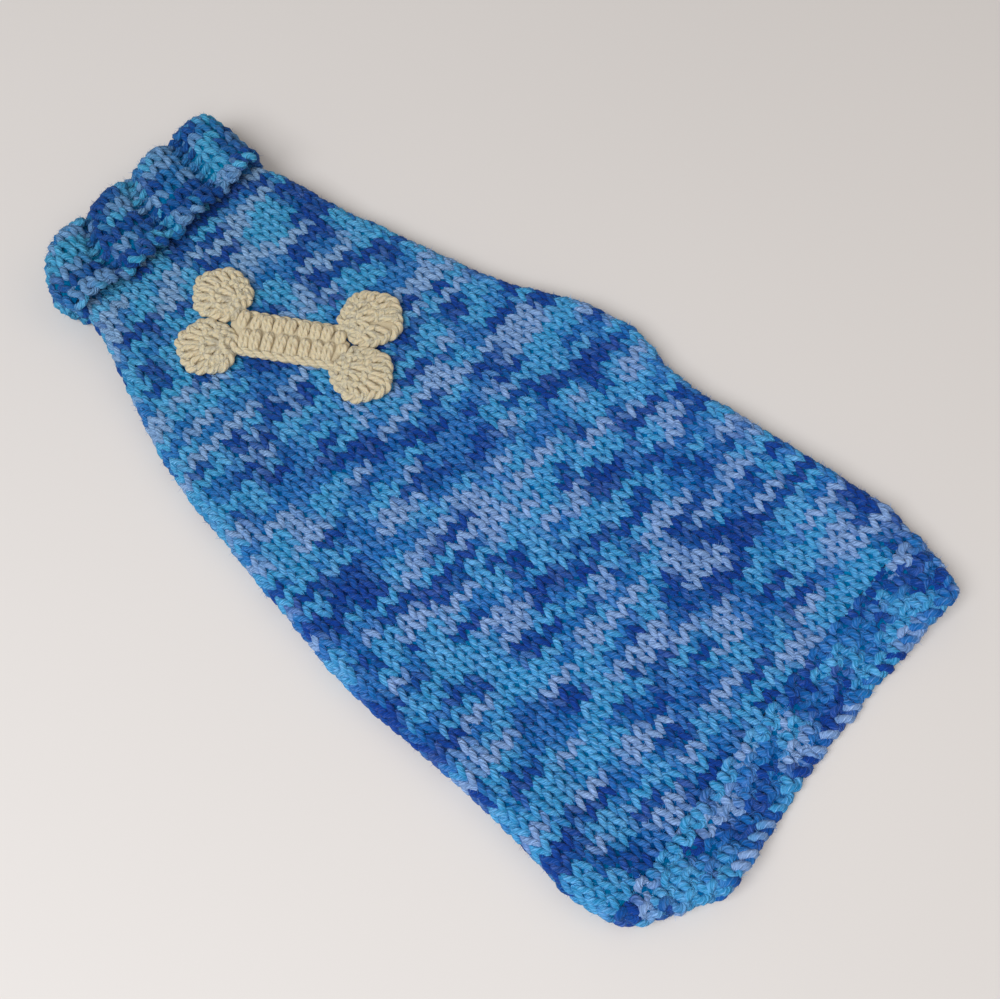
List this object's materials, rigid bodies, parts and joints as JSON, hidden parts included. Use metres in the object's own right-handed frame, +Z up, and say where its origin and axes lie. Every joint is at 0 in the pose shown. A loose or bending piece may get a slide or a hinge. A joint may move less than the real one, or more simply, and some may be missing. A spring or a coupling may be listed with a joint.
{
  "type": "dog sweater",
  "caption": "Hand-knitted dog sweater with a folded ribbed turtleneck, a knitted hem band and a crocheted bone on its back, laid out flat.",
  "frame": {"origin": "centre of the bounding box's foot, on the surface that the sweater lies on", "axes": "+Y from the hem to the neck, +X across the back to the right seen from above with the neck up, +Z up out of the back"},
  "size_m": [0.1629, 0.3189, 0.018],
  "materials": {
    "blue_wool": "matt space-dyed knitting wool in blues",
    "cream_cotton": "matt cream crochet cotton"
  },
  "bodies": {
    "root": {"back_panel": "blue_wool", "belly_panel": "blue_wool", "hem_band": "blue_wool", "collar": "blue_wool", "bone_shaft": "cream_cotton", "bone_knob_neck_left": "cream_cotton", "bone_knob_neck_right": "cream_cotton", "bone_knob_hem_left": "cream_cotton", "bone_knob_hem_right": "cream_cotton"}
  },
  "joints": []
}
